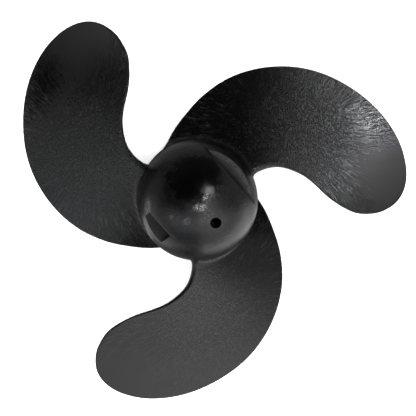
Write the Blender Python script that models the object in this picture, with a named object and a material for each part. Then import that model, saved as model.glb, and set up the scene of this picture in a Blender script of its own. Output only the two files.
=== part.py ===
"""Small outboard-motor propeller: three swept left-hand blades on a hollow pin-drive hub.

Metres, +Z up along the shaft axis, towards the rounded nose. The origin is the centre of the closed
end of the shaft bore, and +X lies along the cross hole for the cotter pin. The real part is one
moulding, so each sub-part here ends a hair's breadth from the one that it grows out of.
"""

import math

import bmesh
import bpy
import numpy as np
from mathutils import Matrix

# Driving dimensions, in metres and degrees

SEAM = 0.0003  # space left where one sub-part meets the next

TIP_RADIUS = 0.0921  # 7 1/4 inch diameter
BLADE_COUNT = 3
PITCH = 0.105  # advance of the helical face in one turn, left-hand
BLADE_ROOT_ANGLE = -88.0  # middle of the first blade's root, from +X
BLADE_ROOT_Z = -0.0327  # middle of each blade's root
ROOT_THICKNESS = 0.0056
TIP_THICKNESS = 0.0018
FACE_FLATNESS = 0.85  # 0 is a lens section, and 1 puts all of the swell on the forward side
ROOT_FILLET = 0.0026
FILLET_AT_TRAILING_EDGE = 0.35  # share of the fillet that is left there
FILLET_FADES_OVER = 0.4  # part of the half chord, from the trailing edge

# Radius of each edge's rounding, at the root and from this radius outwards
EDGE_SETTLES_AT = 0.062
TRAILING_ROUNDING = (0.0019, 0.0007)
LEADING_ROUNDING = (0.0015, 0.0007)

# Blade drawing: radius, sweep of the middle of the blade, angle it spans, rise of its middle
STATIONS = (
    (0.0261, -0.6, 96.0, 0.0),
    (0.030, -5.3, 86.1, 0.0008),
    (0.036, -12.5, 75.9, 0.0019),
    (0.045, -23.2, 71.8, 0.0034),
    (0.055, -35.6, 72.3, 0.0052),
    (0.065, -44.8, 65.8, 0.0060),
    (0.075, -51.8, 53.1, 0.0061),
    (0.083, -57.3, 37.9, 0.0061),
    (0.089, -61.2, 22.1, 0.0060),
    (TIP_RADIUS, -63.2, 0.0, 0.0060),
)

HUB_RADIUS = 0.0258
HUB_WALL = 0.0035
FRONT_Z = -0.0515  # open end of the hub, which faces the gearcase
FRONT_ROUNDING = 0.0008
NOSE_BASE_Z = -0.021  # where the straight barrel turns into the half-round nose

CAVITY_ROOF_Z = -0.0115  # top of the hollow round the boss
GROOVE_RADIUS = 0.014  # outer wall of the deeper ring cored out inside the nose
GROOVE_ROOF_Z = -0.0035
STUB_RADIUS = 0.0074  # the boss where it joins the nose

BORE_RADIUS = 0.005
BORE_CHAMFER = 0.0006
BOSS_RADIUS = 0.0082
COLLAR_RADIUS = 0.012  # stout end of the boss, which takes the drive pin
COLLAR_LENGTH = 0.013
BOSS_RECESS = 0.001  # boss face behind the hub's front rim
PIN_SLOT_WIDTH = 0.0052
PIN_SLOT_DEPTH = 0.0075

RIB_COUNT = 3
RIB_THICKNESS = 0.003
RIB_FIRST_ANGLE = -90.0
RIB_RECESS = 0.003

LEDGE_Z = -0.0084  # floor of both notches in the nose
NARROW_NOTCH_FACE = 0.0173  # inner wall of the notch on the -X side, from the axis
NARROW_NOTCH_ENDS = (-0.0020, 0.0108)  # along Y; it sits to one side of the cross hole
WIDE_NOTCH_FACE = 0.0170  # flat on the +X side, as wide as the nose is there
COTTER_HOLE_RADIUS = 0.0019
COTTER_HOLE_Z = -0.0055
DRAIN_RADIUS = 0.0023
DRAIN_DISTANCE = 0.0100  # from the axis
DRAIN_ANGLE = -88.0

ROUND_SEGMENTS = 60
SMALL_SEGMENTS = 32
NOSE_RINGS = 12
SECTION_POINTS = 32  # round each blade section, even
SPAN_RINGS = 22
FILLET_RINGS = 4
SMOOTH_ANGLE = math.radians(35)


# Scene, materials and shared helpers


def clear_scene():
    for obj in list(bpy.data.objects):
        bpy.data.objects.remove(obj)


def black_nylon(name, shade, roughness):
    material = bpy.data.materials.new(name)
    material.use_nodes = True
    shader = material.node_tree.nodes["Principled BSDF"]
    shader.inputs["Base Color"].default_value = (shade, shade, shade * 1.04, 1.0)
    shader.inputs["Roughness"].default_value = roughness
    shader.inputs["Metallic"].default_value = 0.0
    return material


def add_object(name, bm, material):
    bmesh.ops.recalc_face_normals(bm, faces=bm.faces)
    mesh = bpy.data.meshes.new(name)
    bm.to_mesh(mesh)
    bm.free()
    mesh.materials.append(material)
    mesh.shade_smooth()
    mesh.set_sharp_from_angle(angle=SMOOTH_ANGLE)
    obj = bpy.data.objects.new(name, mesh)
    bpy.context.scene.collection.objects.link(obj)
    return obj


def arc(radius, centre_z, start, end, steps):
    """Points (r, z) of a circle centred on the axis, from one elevation to another, in degrees."""
    angles = np.radians(np.linspace(start, end, steps + 1))
    return [(radius * math.cos(a), centre_z + radius * math.sin(a)) for a in angles]


def turned(name, profile, segments, material):
    """Solid of revolution about Z of a closed outline of (r, z) points, which may touch the axis."""
    bm = bmesh.new()
    verts = [bm.verts.new((r, 0.0, z)) for r, z in profile]
    pairs = list(zip(verts, verts[1:] + verts[:1]))
    edges = [bm.edges.new(p) for p in pairs if p[0].co.x > 1e-7 or p[1].co.x > 1e-7]
    bmesh.ops.spin(
        bm,
        geom=verts + edges,
        cent=(0, 0, 0),
        axis=(0, 0, 1),
        angle=math.tau,
        steps=segments,
        use_merge=True,
    )
    bmesh.ops.remove_doubles(bm, verts=bm.verts, dist=1e-6)
    return add_object(name, bm, material)


def cutter_box(name, low, high):
    bm = bmesh.new()
    bmesh.ops.create_cube(bm, size=1.0)
    size = [b - a for a, b in zip(low, high)]
    middle = [(a + b) / 2 for a, b in zip(low, high)]
    bm.transform(Matrix.Translation(middle) @ Matrix.Diagonal((*size, 1.0)))
    return as_cutter(name, bm)


def cutter_rod(name, radius, length, place):
    bm = bmesh.new()
    bmesh.ops.create_cone(
        bm,
        cap_ends=True,
        segments=SMALL_SEGMENTS,
        radius1=radius,
        radius2=radius,
        depth=length,
        matrix=place,
    )
    return as_cutter(name, bm)


def as_cutter(name, bm):
    mesh = bpy.data.meshes.new(name)
    bm.to_mesh(mesh)
    bm.free()
    obj = bpy.data.objects.new(name, mesh)
    obj.hide_render = True
    obj.display_type = "WIRE"
    bpy.context.scene.collection.objects.link(obj)
    return obj


def cut(obj, cutter):
    modifier = obj.modifiers.new(cutter.name, "BOOLEAN")
    modifier.operation = "DIFFERENCE"
    modifier.solver = "EXACT"
    modifier.object = cutter


# Blades


def station_curve(column):
    """Smooth function of the span parameter through one column of the blade drawing."""
    table = np.array(STATIONS)
    spans = span_of(table[:, 0])
    values = table[:, column]
    slopes = np.gradient(values, spans, edge_order=2)

    def value(span):
        i = min(int(np.searchsorted(spans, span, side="right")) - 1, len(spans) - 2)
        width = spans[i + 1] - spans[i]
        u = (span - spans[i]) / width
        rise = values[i + 1] - values[i]
        start = slopes[i] * width
        end = slopes[i + 1] * width
        return values[i] + u * (start + u * (3 * rise - 2 * start - end + u * (start + end - 2 * rise)))

    return value


def span_of(radius):
    """0 at the root and 1 at the tip, slowing down there so that the outline rounds off."""
    share = (radius - STATIONS[0][0]) / (TIP_RADIUS - STATIONS[0][0])
    return np.arcsin(np.clip(share, 0.0, 1.0)) * 2 / math.pi


def rounded_end(distance, radius):
    """Share of the full thickness at this distance from a rounded end."""
    short = 1.0 - min(distance / radius, 1.0)
    return math.sqrt(max(1.0 - short**2, 0.0))


def edge_rounding(pair, radius):
    share = (radius - STATIONS[0][0]) / (EDGE_SETTLES_AT - STATIONS[0][0])
    share = min(max(share, 0.0), 1.0)
    share = share * share * (3 - 2 * share)
    return pair[0] + (pair[1] - pair[0]) * share


def section(radius, chord):
    """Blade section on the cylinder of this radius, unrolled: (along the chord, off the chord)."""
    root = STATIONS[0][0]
    share = (radius - root) / (TIP_RADIUS - root)
    full = (ROOT_THICKNESS + (TIP_THICKNESS - ROOT_THICKNESS) * share) / 2
    climb = PITCH / math.tau
    half_length = max(math.radians(chord) / 2 * math.hypot(radius, climb), 1e-6)
    trailing = edge_rounding(TRAILING_ROUNDING, radius)
    leading = edge_rounding(LEADING_ROUNDING, radius)
    tip = rounded_end(TIP_RADIUS - radius, TRAILING_ROUNDING[1])
    points = []
    for turn in np.linspace(0.0, math.tau, SECTION_POINTS, endpoint=False):
        across = math.cos(turn)
        edge = trailing + (leading - trailing) * (1 + across) / 2
        belly = max(full - edge, 0.0) * (1.0 - across**2)
        ends = rounded_end(half_length * (1 + across), trailing)
        ends *= rounded_end(half_length * (1 - across), leading)
        half = (edge + belly) * ends * tip
        offset = math.copysign(half, math.sin(turn)) if abs(across) < 1 - 1e-9 else 0.0
        points.append((half_length * across, offset - FACE_FLATNESS * belly * tip))
    return np.array(points)


def grown(points, amount):
    """The section's outline moved outwards by this amount, and by less towards its trailing edge."""
    along = np.roll(points, -1, axis=0) - np.roll(points, 1, axis=0)
    along /= np.linalg.norm(along, axis=1, keepdims=True) + 1e-12
    across = np.cos(np.linspace(0.0, math.tau, len(points), endpoint=False))
    fade = np.clip((1.0 + across) / FILLET_FADES_OVER, 0.0, 1.0)
    fade = FILLET_AT_TRAILING_EDGE + (1.0 - FILLET_AT_TRAILING_EDGE) * fade * (2.0 - fade)
    return points + amount * fade[:, None] * np.column_stack([along[:, 1], -along[:, 0]])


def root_flare(radius):
    """What the fillet at the hub adds all round the section."""
    short = max(ROOT_FILLET - (radius - STATIONS[0][0]), 0.0)
    return ROOT_FILLET - math.sqrt(ROOT_FILLET**2 - short**2)


def blade_radii():
    """Radii of the section rings: close together in the root fillet and at the tip."""
    root = STATIONS[0][0]
    quarter = np.linspace(0.0, math.pi / 2, FILLET_RINGS, endpoint=False)
    fillet = root + ROOT_FILLET * (1.0 - np.cos(quarter))
    spans = np.linspace(span_of(root + ROOT_FILLET), 1.0, SPAN_RINGS)
    return [*fillet, *(root + (TIP_RADIUS - root) * np.sin(spans * math.pi / 2))]


def blade_ring(radius, sweep, chord, rise):
    """Section of the blade on the cylinder of this radius, as points round the section."""
    span = span_of(radius)
    lean = math.atan2(PITCH / math.tau, radius)  # left-hand: it falls as it turns counter-clockwise
    middle = math.radians(BLADE_ROOT_ANGLE + sweep(span))
    points = []
    for along, off in grown(section(radius, chord(span)), root_flare(radius)):
        angle = middle + (along * math.cos(lean) + off * math.sin(lean)) / radius
        height = BLADE_ROOT_Z + rise(span) - along * math.sin(lean) + off * math.cos(lean)
        points.append((radius * math.cos(angle), radius * math.sin(angle), height))
    return points


def blade_mesh():
    sweep, chord, rise = (station_curve(column) for column in (1, 2, 3))
    bm = bmesh.new()
    rings = []
    for radius in blade_radii()[:-1]:
        rings.append([bm.verts.new(p) for p in blade_ring(radius, sweep, chord, rise)])
    for inner, outer in zip(rings, rings[1:]):
        for i in range(SECTION_POINTS):
            j = (i + 1) % SECTION_POINTS
            bm.faces.new((inner[i], inner[j], outer[j], outer[i]))
    tip = bm.verts.new(blade_ring(TIP_RADIUS, sweep, chord, rise)[0])
    last = rings[-1]
    for i in range(SECTION_POINTS):
        bm.faces.new((last[i], last[(i + 1) % SECTION_POINTS], tip))
    close_root(bm, rings[0])
    return bm


def close_root(bm, ring):
    """Closes the root along the hub's round surface, from the face side over a middle row to the back."""
    half = SECTION_POINTS // 2
    middle = [ring[0]]
    for i in range(1, half):
        point = (ring[i].co + ring[-i].co) / 2
        point.xy *= STATIONS[0][0] / point.xy.length
        middle.append(bm.verts.new(point))
    middle.append(ring[half])
    for i in range(half):
        bm.faces.new(dict.fromkeys((ring[i], ring[i + 1], middle[i + 1], middle[i])))
        bm.faces.new(dict.fromkeys((middle[i], middle[i + 1], ring[-i - 1], ring[-i])))


def make_blades(material):
    for number in range(BLADE_COUNT):
        bm = blade_mesh()
        bm.transform(Matrix.Rotation(number * math.tau / BLADE_COUNT, 4, "Z"))
        add_object(f"blade_{number + 1}", bm, material)


# Hub


def make_hub_barrel(material):
    inner = HUB_RADIUS - HUB_WALL
    top = NOSE_BASE_Z - SEAM
    profile = [
        (inner, top),
        (inner, FRONT_Z),
        (HUB_RADIUS - FRONT_ROUNDING, FRONT_Z),
        (HUB_RADIUS, FRONT_Z + FRONT_ROUNDING),
        (HUB_RADIUS, top),
    ]
    return turned("hub_barrel", profile, ROUND_SEGMENTS, material)


def make_nose(material):
    inner = HUB_RADIUS - HUB_WALL
    roof_angle = math.degrees(math.asin((CAVITY_ROOF_Z - NOSE_BASE_Z) / inner))
    profile = arc(HUB_RADIUS, NOSE_BASE_Z, 0.0, 90.0, NOSE_RINGS)
    profile += [(0.0, 0.0), (BORE_RADIUS, 0.0), (BORE_RADIUS, CAVITY_ROOF_Z)]
    profile += [(STUB_RADIUS, CAVITY_ROOF_Z), (STUB_RADIUS, GROOVE_ROOF_Z)]
    profile += [(GROOVE_RADIUS, GROOVE_ROOF_Z), (GROOVE_RADIUS, CAVITY_ROOF_Z)]
    profile += arc(inner, NOSE_BASE_Z, roof_angle, 0.0, NOSE_RINGS // 3)
    nose = turned("nose_dome", profile, ROUND_SEGMENTS, material)
    reach = 2 * HUB_RADIUS
    cut(
        nose,
        cutter_box(
            "narrow_notch_cutter",
            (-reach, NARROW_NOTCH_ENDS[0], LEDGE_Z),
            (-NARROW_NOTCH_FACE, NARROW_NOTCH_ENDS[1], reach),
        ),
    )
    cut(
        nose,
        cutter_box(
            "wide_notch_cutter",
            (WIDE_NOTCH_FACE, -reach, LEDGE_Z),
            (reach, reach, reach),
        ),
    )
    along_x = Matrix.Translation((0, 0, COTTER_HOLE_Z)) @ Matrix.Rotation(math.pi / 2, 4, "Y")
    cut(nose, cutter_rod("cotter_hole_cutter", COTTER_HOLE_RADIUS, 2 * reach, along_x))
    turn = Matrix.Rotation(math.radians(DRAIN_ANGLE), 4, "Z")
    drain_height = reach + GROOVE_ROOF_Z - DRAIN_RADIUS
    drain = turn @ Matrix.Translation((DRAIN_DISTANCE, 0, drain_height / 2 + GROOVE_ROOF_Z - DRAIN_RADIUS))
    cut(nose, cutter_rod("drain_cutter", DRAIN_RADIUS, drain_height, drain))
    return nose


def make_shaft_boss(material):
    face = FRONT_Z + BOSS_RECESS
    top = CAVITY_ROOF_Z - SEAM
    collar_top = face + COLLAR_LENGTH
    profile = [
        (BORE_RADIUS, top),
        (BORE_RADIUS, face + BORE_CHAMFER),
        (BORE_RADIUS + BORE_CHAMFER, face),
        (COLLAR_RADIUS - BORE_CHAMFER, face),
        (COLLAR_RADIUS, face + BORE_CHAMFER),
        (COLLAR_RADIUS, collar_top),
        (BOSS_RADIUS, collar_top),
        (STUB_RADIUS, top),
    ]
    boss = turned("shaft_boss", profile, SMALL_SEGMENTS, material)
    reach = 2 * COLLAR_RADIUS
    cut(
        boss,
        cutter_box(
            "pin_slot_cutter",
            (-reach, -PIN_SLOT_WIDTH / 2, face - PIN_SLOT_DEPTH),
            (reach, PIN_SLOT_WIDTH / 2, face + PIN_SLOT_DEPTH),
        ),
    )
    return boss


def make_ribs(material):
    """Webs that carry the boss in the barrel, flat plates standing on their outline in r and z."""
    inner = HUB_RADIUS - HUB_WALL - SEAM
    low = FRONT_Z + RIB_RECESS
    collar_top = FRONT_Z + BOSS_RECESS + COLLAR_LENGTH + SEAM
    roof = CAVITY_ROOF_Z - SEAM
    outline = [
        (COLLAR_RADIUS + SEAM, low),
        (inner, low),
        (inner, NOSE_BASE_Z),
        (math.sqrt((inner - SEAM) ** 2 - (roof - NOSE_BASE_Z) ** 2), roof),
        (BOSS_RADIUS + SEAM, roof),
        (BOSS_RADIUS + SEAM, collar_top),
        (COLLAR_RADIUS + SEAM, collar_top),
    ]
    for number in range(RIB_COUNT):
        bm = bmesh.new()
        face = bm.faces.new([bm.verts.new((r, -RIB_THICKNESS / 2, z)) for r, z in outline])
        made = bmesh.ops.extrude_face_region(bm, geom=[face])["geom"]
        verts = [v for v in made if isinstance(v, bmesh.types.BMVert)]
        bmesh.ops.translate(bm, verts=verts, vec=(0, RIB_THICKNESS, 0))
        angle = math.radians(RIB_FIRST_ANGLE) + number * math.tau / RIB_COUNT
        bm.transform(Matrix.Rotation(angle, 4, "Z"))
        add_object(f"rib_{number + 1}", bm, material)


def build():
    clear_scene()
    make_blades(black_nylon("blade_nylon", 0.030, 0.55))
    make_hub_barrel(black_nylon("hub_nylon", 0.026, 0.45))
    make_nose(black_nylon("nose_nylon", 0.026, 0.35))
    make_shaft_boss(black_nylon("boss_nylon", 0.024, 0.50))
    make_ribs(black_nylon("rib_nylon", 0.024, 0.55))


build()
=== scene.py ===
"""Looks of the small black nylon outboard propeller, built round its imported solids.

The blades, the hub and its inside are finished surfaces with the fillets and rounded edges of the
real moulding. Everything is in metres, in the part's own frame: +Z aft along the shaft, origin at
the closed end of the shaft bore, +X along the cross hole for the cotter pin.
"""

import math

import bmesh
import bpy
import numpy as np
from mathutils import Matrix, Vector


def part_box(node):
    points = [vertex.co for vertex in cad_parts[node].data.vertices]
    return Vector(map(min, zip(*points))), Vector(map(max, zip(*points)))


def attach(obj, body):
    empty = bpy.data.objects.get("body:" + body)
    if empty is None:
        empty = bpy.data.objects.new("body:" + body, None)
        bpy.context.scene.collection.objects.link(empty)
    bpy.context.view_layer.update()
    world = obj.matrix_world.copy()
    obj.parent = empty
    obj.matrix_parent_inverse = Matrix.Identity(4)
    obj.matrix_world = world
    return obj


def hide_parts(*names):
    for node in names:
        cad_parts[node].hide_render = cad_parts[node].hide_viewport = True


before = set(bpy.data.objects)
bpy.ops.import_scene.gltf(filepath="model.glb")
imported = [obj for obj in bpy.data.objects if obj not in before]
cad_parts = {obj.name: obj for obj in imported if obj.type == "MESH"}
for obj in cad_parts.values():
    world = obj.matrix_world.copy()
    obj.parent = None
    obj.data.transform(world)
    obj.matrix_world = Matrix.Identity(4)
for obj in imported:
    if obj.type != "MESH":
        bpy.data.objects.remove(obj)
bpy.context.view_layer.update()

# Sizes of the part, in metres and degrees, as its solids have them

TIP_RADIUS = 0.0921
BLADE_COUNT = 3
PITCH = 0.105
BLADE_ROOT_ANGLE = -88.0
BLADE_ROOT_Z = -0.0327
ROOT_THICKNESS = 0.0056
TIP_THICKNESS = 0.0018
FACE_FLATNESS = 0.85
ROOT_FILLET = 0.0026
FILLET_AT_TRAILING_EDGE = 0.35  # share of the fillet that is left there
FILLET_FADES_OVER = 0.4  # part of the half chord, from the trailing edge
FILLET_FOOT = 0.0012  # how far the blade runs on inside the hub's wall

# Blade drawing: radius, sweep of the middle of the blade, angle it spans, rise of its middle.
# These come from a fit to the blades' outlines in the photograph, with the pitch set to PITCH.
STATIONS = (
    (0.0261, -0.6, 96.0, 0.0),
    (0.030, -5.3, 86.1, 0.0008),
    (0.036, -12.5, 75.9, 0.0019),
    (0.045, -23.2, 71.8, 0.0034),
    (0.055, -35.6, 72.3, 0.0052),
    (0.065, -44.8, 65.8, 0.0060),
    (0.075, -51.8, 53.1, 0.0061),
    (0.083, -57.3, 37.9, 0.0061),
    (0.089, -61.2, 22.1, 0.0060),
    (TIP_RADIUS, -63.2, 0.0, 0.0060),
)

# Radius of each edge's rounding, at the root and from this radius outwards
EDGE_SETTLES_AT = 0.062
TRAILING_ROUNDING = (0.0019, 0.0007)
LEADING_ROUNDING = (0.0015, 0.0007)

HUB_RADIUS = 0.0258
HUB_WALL = 0.0035
FRONT_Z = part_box("hub_barrel")[0].z
FRONT_ROUNDING = 0.0008
BARREL_ROW_INSETS = (0.004, 0.003)  # how far the rows of points stay off the front and off the nose
NOSE_BASE_Z = -0.021

CAVITY_ROOF_Z = -0.0115
GROOVE_RADIUS = 0.014
GROOVE_ROOF_Z = -0.0035
STUB_RADIUS = 0.0074
BORE_RADIUS = 0.005
BORE_CHAMFER = 0.0006
BOSS_RADIUS = 0.0082
COLLAR_RADIUS = 0.012
COLLAR_LENGTH = 0.013
BOSS_RECESS = 0.001
PIN_SLOT_WIDTH = 0.0052
PIN_SLOT_DEPTH = 0.0075
RIB_COUNT = 3
RIB_THICKNESS = 0.003
RIB_ROOT = BORE_RADIUS + 0.0012  # where a rib starts, inside the boss's wall
RIB_FIRST_ANGLE = -90.0
RIB_RECESS = 0.003

LEDGE_Z = -0.0084
NARROW_NOTCH_FACE = 0.0173
NARROW_NOTCH_ENDS = (-0.0020, 0.0108)
WIDE_NOTCH_FACE = 0.0170
FOOT_GROOVE = (  # place along Y, width and depth of the groove at the foot of that face
    (-0.0300, 0.0013, 0.0022),
    (-0.0115, 0.0012, 0.0019),
    (-0.0085, 0.00045, 0.0004),
    (0.0070, 0.00045, 0.0003),
    (0.0300, 0.0014, 0.0045),
)
COTTER_HOLE_RADIUS = 0.0019
COTTER_HOLE_Z = -0.0055
DRAIN_RADIUS = 0.0023
DRAIN_DISTANCE = 0.0100
DRAIN_ANGLE = -88.0
EDGE_BREAK = 0.00022  # rounding of the hub's cut edges
BROKEN_ANGLE = math.radians(35)  # edges sharper than this are rounded
OVERLAP = 0.0005  # how far the hub's inner pieces reach into each other before they are joined

# Fineness of the meshes

SECTION_POINTS = 120
SPAN_RINGS = 110
FILLET_RINGS = 14
ROOT_ROWS = 6
HUB_SEGMENTS = 144
NOSE_RINGS = 40
BARREL_RINGS = 8
FRONT_RINGS = 6
SMALL_SEGMENTS = 56
SMOOTH_ANGLE = math.radians(30)
ON_AXIS = 1e-7  # a point this close to the axis lies on it
SAME_PLACE = 1e-6  # points this close together are one
LEAST_HALF_CHORD = 1e-6
CHORD_END = 1.0 - 1e-9  # past this share of the half chord a point lies on the edge itself
OUTSIDE_SLOT, NOTCH_SLOT, INSIDE_SLOT = range(3)  # the hub's materials
FACING_UP = 0.9  # a face looks up where its normal rises at least this far

# Camera: its direction and distance, from the same fit, and the turn of the part in the picture

VIEW_PITCH = math.radians(5.457)  # tilt away from straight along the shaft, about the picture's X
VIEW_YAW = math.radians(1.813)
PICTURE_TURN = math.radians(42.0)  # the cross hole's direction in the picture
TARGET_Z = -0.0335  # height of the point that the distance is measured to
VIEW_DISTANCE = 0.4356
VIEW_SHIFT = (-0.00486, 0.00449)  # where that point lies off the picture's centre
LENS = 85.45
SENSOR = 36.0

# Looks of the blades, in the frame of blade 1: flow marks, grain, wear, a rubbed patch and pale flecks
# that are partly painted glints

# A reach gives the distances over which a look sets in, and a band the values of the noise for it
FLOW_CENTRE = (-0.0291, -0.0400, 0.0)  # where the flow marks fan out from
FLOW_MARK_LENGTH = 0.0042
FLOW_MARKS_PER_RADIAN = 92.0
FLOW_REACH = (0.012, 0.034)  # distances from that centre over which the marks take over
FLOW_SHARE = 0.75  # of the marks in the texture there, beside the even grain
GRAIN = 0.0006  # distance of its lumps
GRAIN_RELIEFS = (1.0, 2.5, 2.5)  # height of each blade's grain, in tenths of a millimetre
BLADE_WAVES = (0.012, 1.0)  # distance of the lumps and detail
SMOOTH_TIP = (-0.0789, -0.0372, -0.0245)  # middle of the part without grain
SMOOTH_REACH = (0.004, 0.031)
TIP_CONTRASTS = (0.06, 1.25)  # of the texture, on the smooth tip and off it
BLADE_SATIN_BAND = (0.34, 0.66)
BLADE_ROUGHNESS = (0.48, 0.28)  # in the texture's hollows and on its tops
OFF_TIP_ROUGHNESS = -0.08  # added off the smooth tip
RUBBED = ((-0.0618, -0.0545, -0.0285), -32, (0.027, 0.0135, 0.027))  # place, turn, half sizes
RUBBED_RELIEF = -0.85  # added to the grain's height there
RUBBED_ROUGHNESS = -0.15  # added to the roughness there
WORN_REACH = (0.060, 0.086)  # from the shaft
WORN_SHARES = (1.0, 0.7, 0.8)  # how far each blade's outer part is worn
WORN_EDGE = (0.009, 3.0)  # distance of the lumps and detail of the wear's ragged edge
WORN_EDGE_DEPTH = 0.014
# Band of the texture with pale flecks: glass fibre, and painted glints of the grain
BLADE_FLECK_AND_GLINT_BAND = (0.56, 0.74)
BLADE_SEED_STEP = 7.3

# Looks of the hub: the finishes of barrel and nose, dust, and the pale scuffs on the nose, which are
# partly real wear and partly painted highlight

NOSE_FINISH_REACH = (NOSE_BASE_Z - 0.004, NOSE_BASE_Z + 0.006)  # heights
HUB_RELIEFS = (2.2, 0.8)  # height of the grain on the barrel and on the nose
HUB_WAVE_RELIEF = 2.2
PIT_RELIEF = 1.5
HUB_ROUGHNESS = (0.44, 0.20)  # of the barrel and of the nose
WAVE_ROUGHNESS = 0.2
DUST_ROUGHNESS = 0.10
SCUFF_ROUGHNESS = 0.25
SPECK_BAND = (0.50, 0.60)
SPECK_RANGE = (0.15, 1.0)
DUST_BAND = (0.40, 0.62)
DUST_RANGE = (0.25, 1.0)
HUB_FLECK_BAND = (0.50, 0.76)
# The scuffs' pale colour paints both the worn marks and the lamp's glints on them near the nose's top:
# painted highlight
SCUFF_AND_HIGHLIGHT_MARKS = (  # place, turn, half sizes, strength
    ((-0.0001, -0.0008, 0.0048), -42, (0.0036, 0.0024, 0.006), 1.0),
    ((0.0044, 0.0009, 0.0044), 3, (0.0026, 0.0013, 0.006), 1.0),
    ((-0.0078, -0.0014, 0.0035), 0, (0.0026, 0.0020, 0.006), 0.25),
    ((-0.0116, 0.0039, 0.0017), 0, (0.0012, 0.0010, 0.006), 0.3),
    ((-0.0004, -0.0054, 0.0043), 0, (0.0060, 0.0036, 0.006), 0.12),
    ((-0.0165, 0.0131, -0.0061), 40, (0.0050, 0.0022, 0.006), 0.25),
)
CLEAN_PATCH = (0.0071, 0.0092, 0.0020)  # middle of the part of the nose that has no dust
CLEAN_REACH = (0.0085, 0.0125)  # over which the dust sets in round it
CLEAN_EDGE_DEPTH = 0.020
CLOUD_BAND = (0.3, 0.7)
NOTCH_RELIEF = 0.5
NOTCH_ROUGHNESS = (0.52, 0.62)
# Paler outer part of the wide notch's floor: partly wear, partly painted light where the floor lies out
# of the shade at the face's foot
NOTCH_WORN_AND_LIT_REACH = (0.0190, 0.0222)  # from the shaft
NOTCH_WORN_AND_LIT_BAND = (0.3, 0.6)
NOTCH_WORN_AND_LIT_SIDE = (-0.005, 0.005)  # X over which it sets in, so that only the wide notch is paler
INNER_RELIEF = 0.6
INNER_ROUGHNESS = (0.45, 0.55)
BUMP_UNIT = 0.0001

# Noises of the hub: distance of the lumps, detail, seed, and how rough the detail is

HUB_GRAIN = (GRAIN, 2.0, 31.0, 0.6)
HUB_WAVES = (0.005, 3.0, 32.0)
SCUFF_PITS = (0.0012, 2.0, 33.0)
# Specks of the pale scuffs, partly real wear and partly painted glints
SCUFF_AND_GLINT_SPECKS = (0.0006, 2.0, 34.0, 0.6)
CLEAN_EDGE = (0.0035, 5.0, 35.0)
NOTCH_GRAIN = (GRAIN, 2.0, 41.0, 0.6)
NOTCH_CLOUDS = (0.003, 2.0, 42.0)
INNER_GRAIN = (GRAIN, 2.0, 51.0, 0.6)
INNER_CLOUDS = (0.005, 2.0, 52.0)

# Colours

BLACK = (0.0010, 0.0010, 0.0011, 1.0)
# Pale flecks on the blades: partly glass fibre, partly painted glints
BLADE_FLECK_AND_GLINT = (0.045, 0.045, 0.046, 1.0)
HUB_FLECK = (0.034, 0.034, 0.035, 1.0)
WORN = (0.0165, 0.0157, 0.0155, 1.0)
# Pale colour of the scuffs, partly real wear and partly painted highlight
SCUFF_AND_HIGHLIGHT = (0.55, 0.55, 0.56, 1.0)
# Paler floor at the wide notch's rim: partly wear, partly painted light
NOTCH_WORN_AND_LIT = (0.075, 0.075, 0.076, 1.0)
INNER_BLACK = (0.004, 0.004, 0.0041, 1.0)
FLOOR_WHITE = (0.9, 0.9, 0.9, 1.0)
WHITE = (1.0, 1.0, 1.0, 1.0)

# Studio, in the picture's axes: lengths in metres, angles in degrees, radiances last

FLOOR_HALF_SIZE = 1.2
FLOOR_ROUGHNESS = 0.9
GROUND_LAMP = ((0, 0, 1), (3.0, 3.0), 4.0)  # place, size, radiance
KEY = ((0.38, 0.42, 1.0), 0.13, 38.0)
NOSE_LAMP = ((0.34, 0.04, 1.0), 0.24, 5.0)
BLADE_LAMPS = (  # which blade, place, size, radiance
    (1, (0.66, 0.48, 1.0), 0.42, 0.7),
    (1, (0.50, 0.66, 1.0), 0.26, 4.7),
    (1, (0.56, 0.65, 1.0), 0.12, 52.0),
    (2, (-0.68, 0.44, 1.0), 0.32, 2.5),
)
CEILING_HEIGHT = 1.0
CEILING = (  # name, two corners, radiance
    ("near_left", (-1.6, -1.6), (0.0, -0.55), 1.13),
    ("near_right", (0.0, -1.6), (1.6, -0.45), 1.6),
    ("middle", (-0.35, -0.45), (0.9, -0.05), 1.1),
    ("left", (-1.6, -0.55), (-0.45, -0.28), 0.5),
    ("right", (0.9, -0.45), (1.6, 0.8), 0.4),
)
WALLS = (  # name, where it starts and ends round the part, top, radiance
    ("right", -15, 50, 1.0, 0.32),
    ("far", 50, 150, 1.0, 0.03),
    ("far_left", 150, 172, 0.45, 0.25),
    ("left", 172, 190, 0.35, 0.42),
    ("near_left", 190, 225, 1.0, 0.5),
    ("near", 225, 275, 1.0, 0.25),
    ("near_right", 275, 345, 1.0, 0.9),
)
WALL_DISTANCE = 1.6
WALL_FOOT = -0.2
GROUND = (  # name, two corners, radiance
    ("far", (-0.4, 0.03), (0.4, 0.4), 0.2),
    ("left", (-0.4, -0.03), (-0.07, 0.03), 0.4),
    ("left_close", (-0.07, -0.008), (-0.03, 0.03), 0.2),
    ("left_glow", (-0.07, -0.03), (-0.03, -0.008), 2.2),
    ("right", (0.03, -0.008), (0.4, 0.03), 0.35),
    ("right_glow", (0.03, -0.03), (0.4, -0.008), 0.9),
    ("near_left", (-0.4, -0.4), (-0.05, -0.03), 1.1),
    ("near", (-0.05, -0.4), (0.015, -0.03), 0.15),
    ("near_right", (0.015, -0.4), (0.4, -0.03), 1.7),
)
GROUND_GAP = 0.004  # how far these panels lie under the floor
STUDIO_LEVEL = 0.02  # radiance of the world
TINTS = {"ceiling_near_left": (0.92, 0.95, 1.0), "blade_lamp": (0.95, 0.96, 1.0)}


# Mesh helpers


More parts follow.
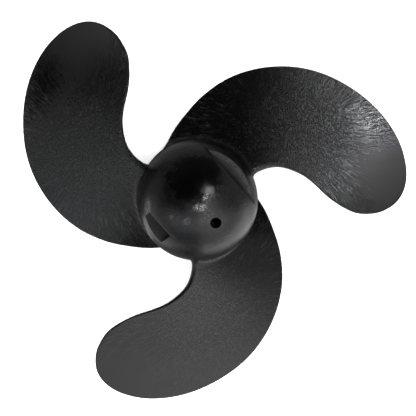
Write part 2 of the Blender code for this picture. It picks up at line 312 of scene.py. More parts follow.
def new_object(name, bm, materials):
    bmesh.ops.recalc_face_normals(bm, faces=bm.faces)
    mesh = bpy.data.meshes.new(name)
    bm.to_mesh(mesh)
    bm.free()
    for material in materials:
        mesh.materials.append(material)
    mesh.shade_smooth()
    mesh.set_sharp_from_angle(angle=SMOOTH_ANGLE)
    obj = bpy.data.objects.new(name, mesh)
    bpy.context.scene.collection.objects.link(obj)
    return obj


def arc(radius, centre_r, centre_z, start, end, steps):
    """Points (r, z) of a circle from one elevation to another, in degrees."""
    angles = np.radians(np.linspace(start, end, steps + 1))
    return [(centre_r + radius * math.cos(a), centre_z + radius * math.sin(a)) for a in angles]


def turned_mesh(profile, segments):
    """Solid turned about Z from a closed outline of (r, z) points, which may touch the axis."""
    bm = bmesh.new()
    verts = [bm.verts.new((r, 0.0, z)) for r, z in profile]
    pairs = list(zip(verts, verts[1:] + verts[:1]))
    edges = [bm.edges.new(pair) for pair in pairs if max(vert.co.x for vert in pair) > ON_AXIS]
    bmesh.ops.spin(
        bm,
        geom=verts + edges,
        cent=(0, 0, 0),
        axis=(0, 0, 1),
        angle=math.tau,
        steps=segments,
        use_merge=True,
    )
    bmesh.ops.remove_doubles(bm, verts=bm.verts, dist=SAME_PLACE)
    return bm


def box_mesh(low, high):
    bm = bmesh.new()
    bmesh.ops.create_cube(bm, size=1.0)
    size = [b - a for a, b in zip(low, high)]
    middle = [(a + b) / 2 for a, b in zip(low, high)]
    bm.transform(Matrix.Translation(middle) @ Matrix.Diagonal((*size, 1.0)))
    return bm


def rod_mesh(radius, length, place):
    bm = bmesh.new()
    bmesh.ops.create_cone(
        bm,
        cap_ends=True,
        segments=SMALL_SEGMENTS,
        radius1=radius,
        radius2=radius,
        depth=length,
        matrix=place,
    )
    return bm


def combine(obj, operation, tool_mesh, name):
    """Joins the tool to the object, or cuts it out, for good."""
    tool = new_object(name, tool_mesh, [])
    modifier = obj.modifiers.new(name, "BOOLEAN")
    modifier.operation = operation
    modifier.solver = "EXACT"
    modifier.object = tool
    apply_modifiers(obj)
    put_in_order(obj.data)
    bpy.data.objects.remove(tool)


def put_in_order(mesh):
    """Gives the mesh's elements one fixed order, which the boolean's threads don't keep."""
    places = [tuple(vert.co) for vert in mesh.vertices]
    order = sorted(range(len(places)), key=places.__getitem__)
    rank = {old: new for new, old in enumerate(order)}
    faces = []
    for polygon in mesh.polygons:
        ring = [rank[i] for i in polygon.vertices]
        start = ring.index(min(ring))
        faces.append(tuple(ring[start:] + ring[:start]))
    mesh.clear_geometry()
    mesh.from_pydata([places[i] for i in order], [], sorted(faces))


def apply_modifiers(obj):
    bpy.context.view_layer.update()
    graph = bpy.context.evaluated_depsgraph_get()
    mesh = bpy.data.meshes.new_from_object(obj.evaluated_get(graph))
    obj.modifiers.clear()
    old = obj.data
    obj.data = mesh
    bpy.data.meshes.remove(old)


# Blades


def span_of(radius):
    """0 at the root and 1 at the tip, slowing down there so that the outline rounds off."""
    share = (radius - STATIONS[0][0]) / (TIP_RADIUS - STATIONS[0][0])
    return np.arcsin(np.clip(share, 0.0, 1.0)) * 2 / math.pi


def station_curve(column):
    """Smooth function of the span parameter through one column of the blade drawing."""
    table = np.array(STATIONS)
    spans = span_of(table[:, 0])
    values = table[:, column]
    slopes = np.gradient(values, spans, edge_order=2)

    def value(span):
        i = min(int(np.searchsorted(spans, span, side="right")) - 1, len(spans) - 2)
        width = spans[i + 1] - spans[i]
        u = (span - spans[i]) / width
        rise = values[i + 1] - values[i]
        start = slopes[i] * width
        end = slopes[i + 1] * width
        square = 3 * rise - 2 * start - end
        cube = start + end - 2 * rise
        return values[i] + u * (start + u * (square + u * cube))

    return value


def rounded_end(distance, radius):
    """Share of the full thickness at this distance from a rounded end."""
    short = 1.0 - min(distance / radius, 1.0)
    return math.sqrt(max(1.0 - short**2, 0.0))


def smooth_share(value, start, end):
    share = min(max((value - start) / (end - start), 0.0), 1.0)
    return share * share * (3 - 2 * share)


def edge_rounding(pair, radius):
    return pair[0] + (pair[1] - pair[0]) * smooth_share(radius, STATIONS[0][0], EDGE_SETTLES_AT)


def section(radius, chord):
    """Blade section on the cylinder of this radius, unrolled: (along the chord, off the chord)."""
    root = STATIONS[0][0]
    share = (radius - root) / (TIP_RADIUS - root)
    full = (ROOT_THICKNESS + (TIP_THICKNESS - ROOT_THICKNESS) * max(share, 0.0)) / 2
    climb = PITCH / math.tau
    half_length = max(math.radians(chord) / 2 * math.hypot(radius, climb), LEAST_HALF_CHORD)
    trailing = edge_rounding(TRAILING_ROUNDING, radius)
    leading = edge_rounding(LEADING_ROUNDING, radius)
    tip = rounded_end(TIP_RADIUS - radius, TRAILING_ROUNDING[1])
    points = []
    for turn in np.linspace(0.0, math.tau, SECTION_POINTS, endpoint=False):
        across = math.cos(turn)
        edge = trailing + (leading - trailing) * (1 + across) / 2
        belly = max(full - edge, 0.0) * (1.0 - across**2)
        ends = rounded_end(half_length * (1 + across), trailing)
        ends *= rounded_end(half_length * (1 - across), leading)
        half = (edge + belly) * ends * tip
        offset = math.copysign(half, math.sin(turn)) if abs(across) < CHORD_END else 0.0
        points.append((half_length * across, offset - FACE_FLATNESS * belly * tip))
    return np.array(points)


def grown(points, amount):
    """The section's outline moved outwards by this amount, and by less towards its trailing edge."""
    along = np.roll(points, -1, axis=0) - np.roll(points, 1, axis=0)
    along /= np.linalg.norm(along, axis=1, keepdims=True) + 1e-12  # never divides by 0
    across = np.cos(np.linspace(0.0, math.tau, len(points), endpoint=False))
    share = np.clip((1.0 + across) / FILLET_FADES_OVER, 0.0, 1.0)
    share = FILLET_AT_TRAILING_EDGE + (1.0 - FILLET_AT_TRAILING_EDGE) * share * (2.0 - share)
    return points + amount * share[:, None] * np.column_stack([along[:, 1], -along[:, 0]])


def hub_radius_at(height):
    above = max(height - NOSE_BASE_Z, 0.0)
    return math.sqrt(HUB_RADIUS**2 - above**2)


def blade_rings():
    """(distance from the hub, growth of the section) along the fillet and the rest of the blade."""
    rings = [(-FILLET_FOOT, ROOT_FILLET), (0.0, ROOT_FILLET)]
    for turn in np.linspace(0.0, math.pi / 2, FILLET_RINGS + 1)[1:]:
        distance = ROOT_FILLET * (1 - math.cos(turn))
        rings.append((distance, ROOT_FILLET * (1 - math.sin(turn))))
    root = STATIONS[0][0]
    spans = np.linspace(span_of(HUB_RADIUS + ROOT_FILLET), 1.0, SPAN_RINGS + 1)[1:-1]
    for radius in root + (TIP_RADIUS - root) * np.sin(spans * math.pi / 2):
        rings.append((radius - HUB_RADIUS, 0.0))
    return rings


def blade_mesh():
    sweep, chord, rise = (station_curve(column) for column in (1, 2, 3))
    bm = bmesh.new()
    rings = []
    for distance, growth in blade_rings():
        radius = HUB_RADIUS + distance
        span = span_of(radius)
        lean = math.atan2(PITCH / math.tau, radius)
        middle = math.radians(BLADE_ROOT_ANGLE + sweep(span))
        ring = []
        for along, off in grown(section(radius, chord(span)), growth):
            arc_length = along * math.cos(lean) + off * math.sin(lean)
            height = BLADE_ROOT_Z + rise(span) - along * math.sin(lean) + off * math.cos(lean)
            here = hub_radius_at(height) + distance if distance < ROOT_FILLET else radius
            angle = middle + arc_length / radius
            place = (here * math.cos(angle), here * math.sin(angle), height)
            ring.append(bm.verts.new(place))
        rings.append(ring)
    for inner, outer in zip(rings, rings[1:]):
        for i in range(SECTION_POINTS):
            j = (i + 1) % SECTION_POINTS
            bm.faces.new((inner[i], inner[j], outer[j], outer[i]))
    angle = math.radians(BLADE_ROOT_ANGLE + sweep(1.0))
    place = (TIP_RADIUS * math.cos(angle), TIP_RADIUS * math.sin(angle), BLADE_ROOT_Z + rise(1.0))
    tip = bm.verts.new(place)
    for i in range(SECTION_POINTS):
        bm.faces.new((rings[-1][i], rings[-1][(i + 1) % SECTION_POINTS], tip))
    close_root(bm, rings[0])
    return bm


def close_root(bm, ring):
    """Closes the root inside the hub's wall, in rows that follow the wall's round."""
    half = SECTION_POINTS // 2
    rows = []
    for row in range(ROOT_ROWS + 1):
        share = row / ROOT_ROWS
        verts = [ring[0]]
        for i in range(1, half):
            if row in (0, ROOT_ROWS):
                verts.append(ring[i] if row == 0 else ring[-i])
                continue
            point = ring[i].co.lerp(ring[-i].co, share)
            point.xy *= (hub_radius_at(point.z) - FILLET_FOOT) / point.xy.length
            verts.append(bm.verts.new(point))
        verts.append(ring[half])
        rows.append(verts)
    for first, second in zip(rows, rows[1:]):
        for i in range(half):
            bm.faces.new(dict.fromkeys((first[i], first[i + 1], second[i + 1], second[i])))


def make_blades(materials):
    blades = []
    for number in range(BLADE_COUNT):
        bm = blade_mesh()
        bm.transform(Matrix.Rotation(number * math.tau / BLADE_COUNT, 4, "Z"))
        blade = new_object(f"blade_skin_{number + 1}", bm, [materials[number]])
        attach(blade, "root")
        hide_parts(f"blade_{number + 1}")
        blades.append(blade)
    return blades


# Hub


def shell_profile():
    """Outline of the barrel and nose in one, with the hollow round the boss."""
    inner = HUB_RADIUS - HUB_WALL
    roof_angle = math.degrees(math.asin((CAVITY_ROOF_Z - NOSE_BASE_Z) / inner))
    corner = HUB_RADIUS - FRONT_ROUNDING
    profile = arc(FRONT_ROUNDING, corner, FRONT_Z + FRONT_ROUNDING, -90.0, 0.0, FRONT_RINGS)
    first_row = FRONT_Z + BARREL_ROW_INSETS[0]
    last_row = NOSE_BASE_Z - BARREL_ROW_INSETS[1]
    profile += [(HUB_RADIUS, z) for z in np.linspace(first_row, last_row, BARREL_RINGS)]
    profile += arc(HUB_RADIUS, 0.0, NOSE_BASE_Z, 0.0, 90.0, NOSE_RINGS)
    profile += [(0.0, 0.0), (BORE_RADIUS, 0.0), (BORE_RADIUS, CAVITY_ROOF_Z)]
    profile += [(STUB_RADIUS, CAVITY_ROOF_Z), (STUB_RADIUS, GROOVE_ROOF_Z)]
    profile += [(GROOVE_RADIUS, GROOVE_ROOF_Z), (GROOVE_RADIUS, CAVITY_ROOF_Z)]
    profile += arc(inner, 0.0, NOSE_BASE_Z, roof_angle, 0.0, NOSE_RINGS // 2)
    profile += [(inner, FRONT_Z)]
    return profile


def boss_profile():
    face = FRONT_Z + BOSS_RECESS
    top = CAVITY_ROOF_Z + OVERLAP
    collar_top = face + COLLAR_LENGTH
    return [
        (BORE_RADIUS, top),
        (BORE_RADIUS, face + BORE_CHAMFER),
        (BORE_RADIUS + BORE_CHAMFER, face),
        (COLLAR_RADIUS - BORE_CHAMFER, face),
        (COLLAR_RADIUS, face + BORE_CHAMFER),
        (COLLAR_RADIUS, collar_top),
        (BOSS_RADIUS, collar_top),
        (STUB_RADIUS - OVERLAP, top),
    ]


def rib_mesh(number):
    bm = box_mesh(
        (RIB_ROOT, -RIB_THICKNESS / 2, FRONT_Z + RIB_RECESS),
        (HUB_RADIUS - HUB_WALL + OVERLAP, RIB_THICKNESS / 2, NOSE_BASE_Z),
    )
    angle = math.radians(RIB_FIRST_ANGLE) + number * math.tau / RIB_COUNT
    bm.transform(Matrix.Rotation(angle, 4, "Z"))
    return bm


def foot_groove_mesh():
    """Bar along the foot of the wide notch's face, which widens and deepens towards its ends."""
    bm = bmesh.new()
    rings = []
    for along, width, depth in FOOT_GROOVE:
        near, far = WIDE_NOTCH_FACE, WIDE_NOTCH_FACE + width
        low, high = LEDGE_Z - depth, HUB_RADIUS
        corners = ((near, low), (far, low), (far, high), (near, high))
        rings.append([bm.verts.new((x, along, z)) for x, z in corners])
    for first, second in zip(rings, rings[1:]):
        for i in range(4):
            j = (i + 1) % 4
            bm.faces.new((first[i], first[j], second[j], second[i]))
    bm.faces.new(rings[0])
    bm.faces.new(rings[-1])
    return bm


def make_hub(materials):
    """The hub in one piece, with materials for its outside, its notch floors and its inside."""
    hub = new_object("hub_skin", turned_mesh(shell_profile(), HUB_SEGMENTS), materials)
    combine(hub, "UNION", turned_mesh(boss_profile(), SMALL_SEGMENTS), "boss_tool")
    for number in range(RIB_COUNT):
        combine(hub, "UNION", rib_mesh(number), "rib_tool")
    cut_notches(hub)
    cut_holes(hub)
    break_edges(hub)
    share_out_materials(hub.data)
    ribs = [f"rib_{number + 1}" for number in range(RIB_COUNT)]
    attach(hub, "root")
    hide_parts("hub_barrel", "nose_dome", "shaft_boss", *ribs)
    return hub


def cut_notches(hub):
    reach = 2 * HUB_RADIUS
    low, high = NARROW_NOTCH_ENDS
    narrow = box_mesh((-reach, low, LEDGE_Z), (-NARROW_NOTCH_FACE, high, reach))
    combine(hub, "DIFFERENCE", narrow, "narrow_notch_tool")
    wide = box_mesh((WIDE_NOTCH_FACE, -reach, LEDGE_Z), (reach, reach, reach))
    combine(hub, "DIFFERENCE", wide, "wide_notch_tool")
    combine(hub, "DIFFERENCE", foot_groove_mesh(), "groove_tool")


def cut_holes(hub):
    """Cuts the cross hole for the cotter pin, the drain hole and the slot for the drive pin."""
    reach = 2 * HUB_RADIUS
    along_x = Matrix.Translation((0, 0, COTTER_HOLE_Z)) @ Matrix.Rotation(math.pi / 2, 4, "Y")
    combine(hub, "DIFFERENCE", rod_mesh(COTTER_HOLE_RADIUS, 2 * reach, along_x), "cotter_tool")
    turn = Matrix.Rotation(math.radians(DRAIN_ANGLE), 4, "Z")
    low = GROOVE_ROOF_Z - DRAIN_RADIUS
    place = turn @ Matrix.Translation((DRAIN_DISTANCE, 0, (reach + low) / 2))
    combine(hub, "DIFFERENCE", rod_mesh(DRAIN_RADIUS, reach - low, place), "drain_tool")
    boss_face = FRONT_Z + BOSS_RECESS
    slot = box_mesh(
        (-COLLAR_RADIUS - OVERLAP, -PIN_SLOT_WIDTH / 2, boss_face - PIN_SLOT_DEPTH),
        (COLLAR_RADIUS + OVERLAP, PIN_SLOT_WIDTH / 2, boss_face + PIN_SLOT_DEPTH),
    )
    combine(hub, "DIFFERENCE", slot, "pin_slot_tool")


def share_out_materials(mesh):
    """Gives each face of the hub its material, by where its middle lies."""
    for face in mesh.polygons:
        middle = face.center
        from_axis = middle.xy.length
        outside = from_axis > HUB_RADIUS - HUB_WALL / 2 or middle.z > hub_inside_top(from_axis)
        if abs(middle.z - LEDGE_Z) < EDGE_BREAK and face.normal.z > FACING_UP:
            face.material_index = NOTCH_SLOT
        elif in_foot_groove(middle) or not outside:
            face.material_index = INSIDE_SLOT
        else:
            face.material_index = OUTSIDE_SLOT


def in_foot_groove(place):
    """Whether this place is in the groove at the foot of the wide notch's face."""
    behind_face = place.x > WIDE_NOTCH_FACE - EDGE_BREAK
    under_ledge = CAVITY_ROOF_Z < place.z < LEDGE_Z - EDGE_BREAK
    from_middle = (place - Vector((0, 0, NOSE_BASE_Z))).length
    return behind_face and under_ledge and from_middle < HUB_RADIUS - EDGE_BREAK


def hub_inside_top(radius):
    """Height half-way through the nose's wall, above which a face belongs to the outside."""
    middle = HUB_RADIUS - HUB_WALL / 2
    return NOSE_BASE_Z + math.sqrt(max(middle**2 - radius**2, 0.0))


def break_edges(obj):
    """Rounds off the sharp edges a little, as a worn moulding has them."""
    bm = bmesh.new()
    bm.from_mesh(obj.data)
    bmesh.ops.remove_doubles(bm, verts=bm.verts, dist=EDGE_BREAK / 2)
    bmesh.ops.dissolve_degenerate(bm, edges=bm.edges, dist=SAME_PLACE)
    bm.to_mesh(obj.data)
    bm.free()
    modifier = obj.modifiers.new("edge_break", "BEVEL")
    modifier.width = EDGE_BREAK
    modifier.segments = 2
    modifier.limit_method = "ANGLE"
    modifier.angle_limit = BROKEN_ANGLE
    apply_modifiers(obj)
    obj.data.shade_smooth()
    obj.data.set_sharp_from_angle(angle=SMOOTH_ANGLE)


# Materials


def plug(tree, value, socket):
    if isinstance(value, bpy.types.NodeSocket):
        tree.links.new(value, socket)
    else:
        socket.default_value = value


def calc(tree, operation, *values):
    node = tree.nodes.new("ShaderNodeMath")
    node.operation = operation
    for value, socket in zip(values, node.inputs):
        plug(tree, value, socket)
    return node.outputs[0]


def vector_calc(tree, operation, *values):
    node = tree.nodes.new("ShaderNodeVectorMath")
    node.operation = operation
    for value, socket in zip(values, node.inputs):
        plug(tree, value, socket)
    return node.outputs["Value" if operation in ("LENGTH", "DISTANCE") else "Vector"]


def noise(tree, vector, feature, detail, seed, roughness=0.5):
    """Even noise of 0 to 1 whose lumps are about this many metres apart."""
    node = tree.nodes.new("ShaderNodeTexNoise")
    node.noise_dimensions = "4D"
    plug(tree, vector, node.inputs["Vector"])
    node.inputs["W"].default_value = seed
    node.inputs["Scale"].default_value = 1.0 / feature
    node.inputs["Detail"].default_value = detail
    node.inputs["Roughness"].default_value = roughness
    return node.outputs["Fac"]


def fade(tree, value, start, end, low=0.0, high=1.0):
    """Goes smoothly from low to high while the value goes from start to end."""
    node = tree.nodes.new("ShaderNodeMapRange")
    node.interpolation_type = "SMOOTHSTEP"
    plug(tree, value, node.inputs["Value"])
    for name, number in (("From Min", start), ("From Max", end), ("To Min", low), ("To Max", high)):
        node.inputs[name].default_value = number
    return node.outputs["Result"]


def between(tree, share, first, second):
    """Number that goes from the first to the second with this share."""
    return calc(tree, "MULTIPLY_ADD", calc(tree, "SUBTRACT", second, first), share, first)


def from_shaft(tree, place):
    """Distance of this place from the Z axis."""
    return vector_calc(tree, "LENGTH", vector_calc(tree, "MULTIPLY", place, (1, 1, 0)))


def blend(tree, share, first, second):
    node = tree.nodes.new("ShaderNodeMix")
    node.data_type = "RGBA"
    plug(tree, share, node.inputs["Factor"])
    for socket, value in zip((node.inputs["A"], node.inputs["B"]), (first, second)):
        plug(tree, value, socket)
    return node.outputs["Result"]


def mark(tree, place, centre, turn, size, core=0.35):
    """1 in the core of an oval mark with these half sizes, turned about Z, and 0 beyond it."""
    oval = tree.nodes.new("ShaderNodeMapping")
    oval.vector_type = "TEXTURE"
    plug(tree, place, oval.inputs["Vector"])
    oval.inputs["Location"].default_value = centre
    oval.inputs["Rotation"].default_value = (0, 0, math.radians(turn))
    oval.inputs["Scale"].default_value = size
    return fade(tree, vector_calc(tree, "LENGTH", oval.outputs[0]), core, 1.0, 1.0, 0.0)


def bump(tree, height):
    """Normal of a surface with this height, given in tenths of a millimetre."""
    node = tree.nodes.new("ShaderNodeBump")
    node.inputs["Strength"].default_value = 1.0
    node.inputs["Distance"].default_value = BUMP_UNIT
    plug(tree, height, node.inputs["Height"])
    return node.outputs["Normal"]


def new_material(name):
    material = bpy.data.materials.new(name)
    material.use_nodes = True
    tree = material.node_tree
    place = tree.nodes.new("ShaderNodeTexCoord").outputs["Object"]
    return material, tree, tree.nodes["Principled BSDF"], place


def blade_nylon(number):
    """Black glass-filled nylon whose flow marks fan out over the blade towards its smooth tip."""
    material, tree, shader, place = new_material(f"blade_nylon_{number + 1}")
    turn = tree.nodes.new("ShaderNodeVectorRotate")
    turn.rotation_type = "Z_AXIS"
    plug(tree, place, turn.inputs["Vector"])
    turn.inputs["Angle"].default_value = -number * math.tau / BLADE_COUNT
    place = turn.outputs["Vector"]
    seed = BLADE_SEED_STEP * number

    fanned = vector_calc(tree, "MULTIPLY", vector_calc(tree, "SUBTRACT", place, FLOW_CENTRE), (1, 1, 0))
    reach = vector_calc(tree, "LENGTH", fanned)
    along = tree.nodes.new("ShaderNodeCombineXYZ")
    plug(tree, calc(tree, "DIVIDE", reach, FLOW_MARK_LENGTH), along.inputs["Z"])
    around = vector_calc(tree, "SCALE", vector_calc(tree, "NORMALIZE", fanned))
    around.node.inputs["Scale"].default_value = FLOW_MARKS_PER_RADIAN
    marks = noise(tree, vector_calc(tree, "ADD", around, along.outputs[0]), 1.0, 1.0, seed)
    grain = noise(tree, place, GRAIN, 1.0, seed + 1.0)
    waves = noise(tree, place, *BLADE_WAVES, seed + 2.0)
    edge = noise(tree, place, *WORN_EDGE, seed + 3.0)
    in_fan = fade(tree, reach, *FLOW_REACH, 0.0, FLOW_SHARE)
    from_tip = vector_calc(tree, "DISTANCE", place, SMOOTH_TIP)
    off_tip = fade(tree, from_tip, *SMOOTH_REACH, *TIP_CONTRASTS)
    texture = between(tree, off_tip, 0.5, between(tree, in_fan, grain, marks))
    rubbed = mark(tree, place, *RUBBED, core=0.0)

    relief = calc(tree, "MULTIPLY_ADD", rubbed, RUBBED_RELIEF, GRAIN_RELIEFS[number])
    height = calc(tree, "MULTIPLY_ADD", texture, relief, waves)
    plug(tree, bump(tree, height), shader.inputs["Normal"])
    satin = fade(tree, texture, *BLADE_SATIN_BAND, *BLADE_ROUGHNESS)
    satin = calc(tree, "MULTIPLY_ADD", rubbed, RUBBED_ROUGHNESS, satin)
    satin = calc(tree, "MULTIPLY_ADD", off_tip, OFF_TIP_ROUGHNESS, satin)
    plug(tree, satin, shader.inputs["Roughness"])
    edge = calc(tree, "MULTIPLY_ADD", edge, WORN_EDGE_DEPTH, -WORN_EDGE_DEPTH / 2)
    outward = calc(tree, "ADD", from_shaft(tree, place), edge)
    worn = fade(tree, outward, *WORN_REACH, 0.0, WORN_SHARES[number])
    worn = calc(tree, "MULTIPLY", worn, calc(tree, "SUBTRACT", 1.0, rubbed))
    # Pale flecks on the texture's tops: partly glass fibre, partly painted glints of the grain
    flecks = fade(tree, texture, *BLADE_FLECK_AND_GLINT_BAND)
    colour = blend(tree, worn, blend(tree, flecks, BLACK, BLADE_FLECK_AND_GLINT), WORN)
    plug(tree, colour, shader.inputs["Base Color"])
    return material


def hub_nylon():
    """The same nylon, satin on the barrel, worn glossier on the nose and scuffed at its top, whose pale
    scuffs are partly painted highlight.
    """
    material, tree, shader, place = new_material("hub_nylon")
    height = tree.nodes.new("ShaderNodeSeparateXYZ")
    plug(tree, place, height.inputs[0])
    on_nose = fade(tree, height.outputs["Z"], *NOSE_FINISH_REACH)
    grain = noise(tree, place, *HUB_GRAIN)
    waves = noise(tree, place, *HUB_WAVES)
    pits = noise(tree, place, *SCUFF_PITS)

    scuffed_and_glinting = 0.0
    # Pale scuff marks: partly real wear, partly painted highlight
    for centre, turn, size, strength in SCUFF_AND_HIGHLIGHT_MARKS:
        here = mark(tree, place, centre, turn, size)
        scuffed_and_glinting = calc(tree, "MULTIPLY_ADD", here, strength, scuffed_and_glinting)
    in_scuff_and_highlight = calc(tree, "MINIMUM", scuffed_and_glinting, 1.0)
    scuff_and_glint_specks = fade(tree, noise(tree, place, *SCUFF_AND_GLINT_SPECKS), *SPECK_BAND, *SPECK_RANGE)
    scuffed_and_glinting = calc(tree, "MULTIPLY", in_scuff_and_highlight, scuff_and_glint_specks)
    edge = calc(tree, "SUBTRACT", noise(tree, place, *CLEAN_EDGE), 0.5)
    from_clean = vector_calc(tree, "DISTANCE", place, CLEAN_PATCH)
    from_clean = calc(tree, "MULTIPLY_ADD", edge, CLEAN_EDGE_DEPTH, from_clean)
    dusty = fade(tree, from_clean, *CLEAN_REACH)

    relief = calc(tree, "MULTIPLY", grain, fade(tree, on_nose, 0.0, 1.0, *HUB_RELIEFS))
    relief = calc(tree, "MULTIPLY_ADD", waves, HUB_WAVE_RELIEF, relief)
    relief = calc(tree, "MULTIPLY_ADD", calc(tree, "MULTIPLY", pits, in_scuff_and_highlight), PIT_RELIEF, relief)
    plug(tree, bump(tree, relief), shader.inputs["Normal"])
    satin = fade(tree, on_nose, 0.0, 1.0, *HUB_ROUGHNESS)
    satin = calc(tree, "MULTIPLY_ADD", calc(tree, "SUBTRACT", waves, 0.5), WAVE_ROUGHNESS, satin)
    satin = calc(tree, "MULTIPLY_ADD", dusty, DUST_ROUGHNESS, satin)
    satin = calc(tree, "MULTIPLY_ADD", scuffed_and_glinting, SCUFF_ROUGHNESS, satin)
    plug(tree, satin, shader.inputs["Roughness"])
    dust = calc(tree, "MULTIPLY", dusty, fade(tree, waves, *DUST_BAND, *DUST_RANGE))
    flecks = calc(tree, "MULTIPLY", fade(tree, grain, *HUB_FLECK_BAND), dust)
    # Colour: dust flecks and the pale scuffs, whose paleness is partly painted highlight
    colour = blend(tree, scuffed_and_glinting, blend(tree, flecks, BLACK, HUB_FLECK), SCUFF_AND_HIGHLIGHT)
    plug(tree, colour, shader.inputs["Base Color"])
    return material


def even_finish(tree, shader, place, grain, relief, clouds, roughness):
    """Bump of even grain, and roughness in slow clouds. Gives the grain back."""
    grain = noise(tree, place, *grain)
    plug(tree, bump(tree, calc(tree, "MULTIPLY", grain, relief)), shader.inputs["Normal"])
    satin = fade(tree, noise(tree, place, *clouds), *CLOUD_BAND, *roughness)
    plug(tree, satin, shader.inputs["Roughness"])
    return grain


def notch_nylon():
    """Matt floor of the notches, paler at the hub's outer rim in the wide one: partly wear, partly
    painted light where the floor lies out of the shade at the face's foot.
    """
    material, tree, shader, place = new_material("notch_nylon")
    grain = even_finish(tree, shader, place, NOTCH_GRAIN, NOTCH_RELIEF, NOTCH_CLOUDS, NOTCH_ROUGHNESS)
    at_rim = fade(tree, from_shaft(tree, place), *NOTCH_WORN_AND_LIT_REACH)
    # Paler towards the rim: partly wear, partly painted light out of the shade at the face's foot
    worn = calc(tree, "MULTIPLY", at_rim, fade(tree, grain, *NOTCH_WORN_AND_LIT_BAND))
    side = tree.nodes.new("ShaderNodeSeparateXYZ")
    plug(tree, place, side.inputs[0])
    worn = calc(tree, "MULTIPLY", worn, fade(tree, side.outputs["X"], *NOTCH_WORN_AND_LIT_SIDE))
    plug(tree, blend(tree, worn, BLACK, NOTCH_WORN_AND_LIT), shader.inputs["Base Color"])
    return material


def inner_nylon():
    """The same nylon as it left the mould, inside the hub."""
    material, tree, shader, place = new_material("inner_nylon")
    even_finish(tree, shader, place, INNER_GRAIN, INNER_RELIEF, INNER_CLOUDS, INNER_ROUGHNESS)
    shader.inputs["Base Color"].default_value = INNER_BLACK
    return material


# Floor, light and camera


def make_floor():
    bm = bmesh.new()
    bmesh.ops.create_grid(bm, x_segments=1, y_segments=1, size=FLOOR_HALF_SIZE)
    bm.transform(Matrix.Translation((0, 0, FRONT_Z)))
    material = bpy.data.materials.new("floor_white")
    material.use_nodes = True
    shader = material.node_tree.nodes["Principled BSDF"]
    shader.inputs["Base Color"].default_value = FLOOR_WHITE
    shader.inputs["Roughness"].default_value = FLOOR_ROUGHNESS
    floor = new_object("floor", bm, [material])
    floor.visible_glossy = False  # the photo's white ground is a cut-out that nothing reflects
    floor.visible_shadow = False
    return floor


def make_light(name, size, place, away, radiance):
    """Area light in the picture's axes, round for one size or else a panel, its back turned away."""
    data = bpy.data.lights.new(name, "AREA")
    if isinstance(size, tuple):
        data.shape = "RECTANGLE"
        data.size, data.size_y = size
        area = size[0] * size[1]
    else:
        data.shape = "DISK"
        data.size = size
        area = math.pi * size**2 / 4
    data.energy = math.pi * area * radiance
    data.color = TINTS.get(name, WHITE[:3])
    light = bpy.data.objects.new(name, data)
    light.visible_camera = False
    facing = Vector(away).to_track_quat("Z", "Y").to_matrix().to_4x4()
    to_part = Matrix.Rotation(-PICTURE_TURN, 4, "Z")
    light.matrix_world = to_part @ Matrix.Translation(place) @ facing
    bpy.context.scene.collection.objects.link(light)
    return light


def make_flat_panel(name, low, high, height, away, radiance):
    size = (high[0] - low[0], high[1] - low[1])
    place = ((low[0] + high[0]) / 2, (low[1] + high[1]) / 2, height)
    make_light(name, size, place, away, radiance)


def link_light(light, role, members):
    """Keeps a light's effect, or its shadow, to these objects."""
    group = bpy.data.collections.new(f"{light.name}_{role}")
    for member in members:
        group.objects.link(member)
    setattr(light.light_linking, f"{role}_collection", group)


def light_ground(floor, hub):
    """Wide lamp for the white ground alone, which only the hub keeps off."""
    place, size, radiance = GROUND_LAMP
    lamp = make_light("ground_lamp", size, place, place, radiance)
    link_light(lamp, "receiver", [floor])
    link_light(lamp, "blocker", [hub])


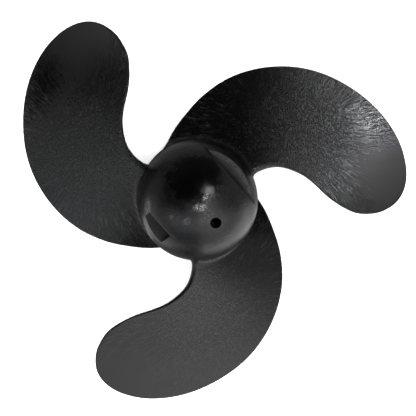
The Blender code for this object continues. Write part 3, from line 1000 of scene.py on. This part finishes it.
def light_part(blades, hub):
    place, size, radiance = KEY
    make_light("key", size, place, place, radiance)
    place, size, radiance = NOSE_LAMP
    lamp = make_light("nose_lamp", size, place, place, radiance)
    link_light(lamp, "receiver", [hub])
    for number, place, size, radiance in BLADE_LAMPS:
        lamp = make_light("blade_lamp", size, place, place, radiance)
        link_light(lamp, "receiver", [blades[number]])
    for name, low, high, radiance in CEILING:
        make_flat_panel(f"ceiling_{name}", low, high, CEILING_HEIGHT, (0, 0, 1), radiance)
    for name, low, high, radiance in GROUND:
        make_flat_panel(f"ground_{name}", low, high, FRONT_Z - GROUND_GAP, (0, 0, -1), radiance)
    for name, start, end, top, radiance in WALLS:
        angle = math.radians((start + end) / 2)
        width = 2 * WALL_DISTANCE * math.tan(math.radians(end - start) / 2)
        away = (math.cos(angle), math.sin(angle), 0.0)
        place = Vector(away) * WALL_DISTANCE + Vector((0, 0, (WALL_FOOT + top) / 2))
        make_light(f"wall_{name}", (width, top - WALL_FOOT), place, away, radiance)


def make_world():
    """Dim studio for the light, pale backdrop for the camera."""
    world = bpy.data.worlds.new("studio")
    bpy.context.scene.world = world
    world.use_nodes = True
    tree = world.node_tree
    dim = tree.nodes["Background"]
    dim.inputs["Color"].default_value = WHITE
    dim.inputs["Strength"].default_value = STUDIO_LEVEL
    pale = tree.nodes.new("ShaderNodeBackground")
    pale.inputs["Color"].default_value = WHITE
    seen = tree.nodes.new("ShaderNodeLightPath").outputs["Is Camera Ray"]
    mix = tree.nodes.new("ShaderNodeMixShader")
    tree.links.new(seen, mix.inputs[0])
    tree.links.new(dim.outputs[0], mix.inputs[1])
    tree.links.new(pale.outputs[0], mix.inputs[2])
    tree.links.new(mix.outputs[0], tree.nodes["World Output"].inputs["Surface"])


def make_camera():
    data = bpy.data.cameras.new("camera")
    data.lens = LENS
    data.sensor_width = SENSOR
    camera = bpy.data.objects.new("camera", data)
    turned = Matrix.Rotation(PICTURE_TURN, 4, "Z") @ Matrix.Translation((0, 0, -TARGET_Z))
    tilted = Matrix.Rotation(VIEW_YAW, 4, "Y") @ Matrix.Rotation(VIEW_PITCH, 4, "X")
    shifted = Matrix.Translation((*VIEW_SHIFT, -VIEW_DISTANCE))
    camera.matrix_world = (shifted @ tilted @ turned).inverted()
    bpy.context.scene.collection.objects.link(camera)
    bpy.context.scene.camera = camera


def build():
    bpy.context.scene.view_settings.view_transform = "Standard"
    blades = make_blades([blade_nylon(number) for number in range(BLADE_COUNT)])
    hub = make_hub([hub_nylon(), notch_nylon(), inner_nylon()])
    light_ground(make_floor(), hub)
    light_part(blades, hub)
    make_world()
    make_camera()


build()
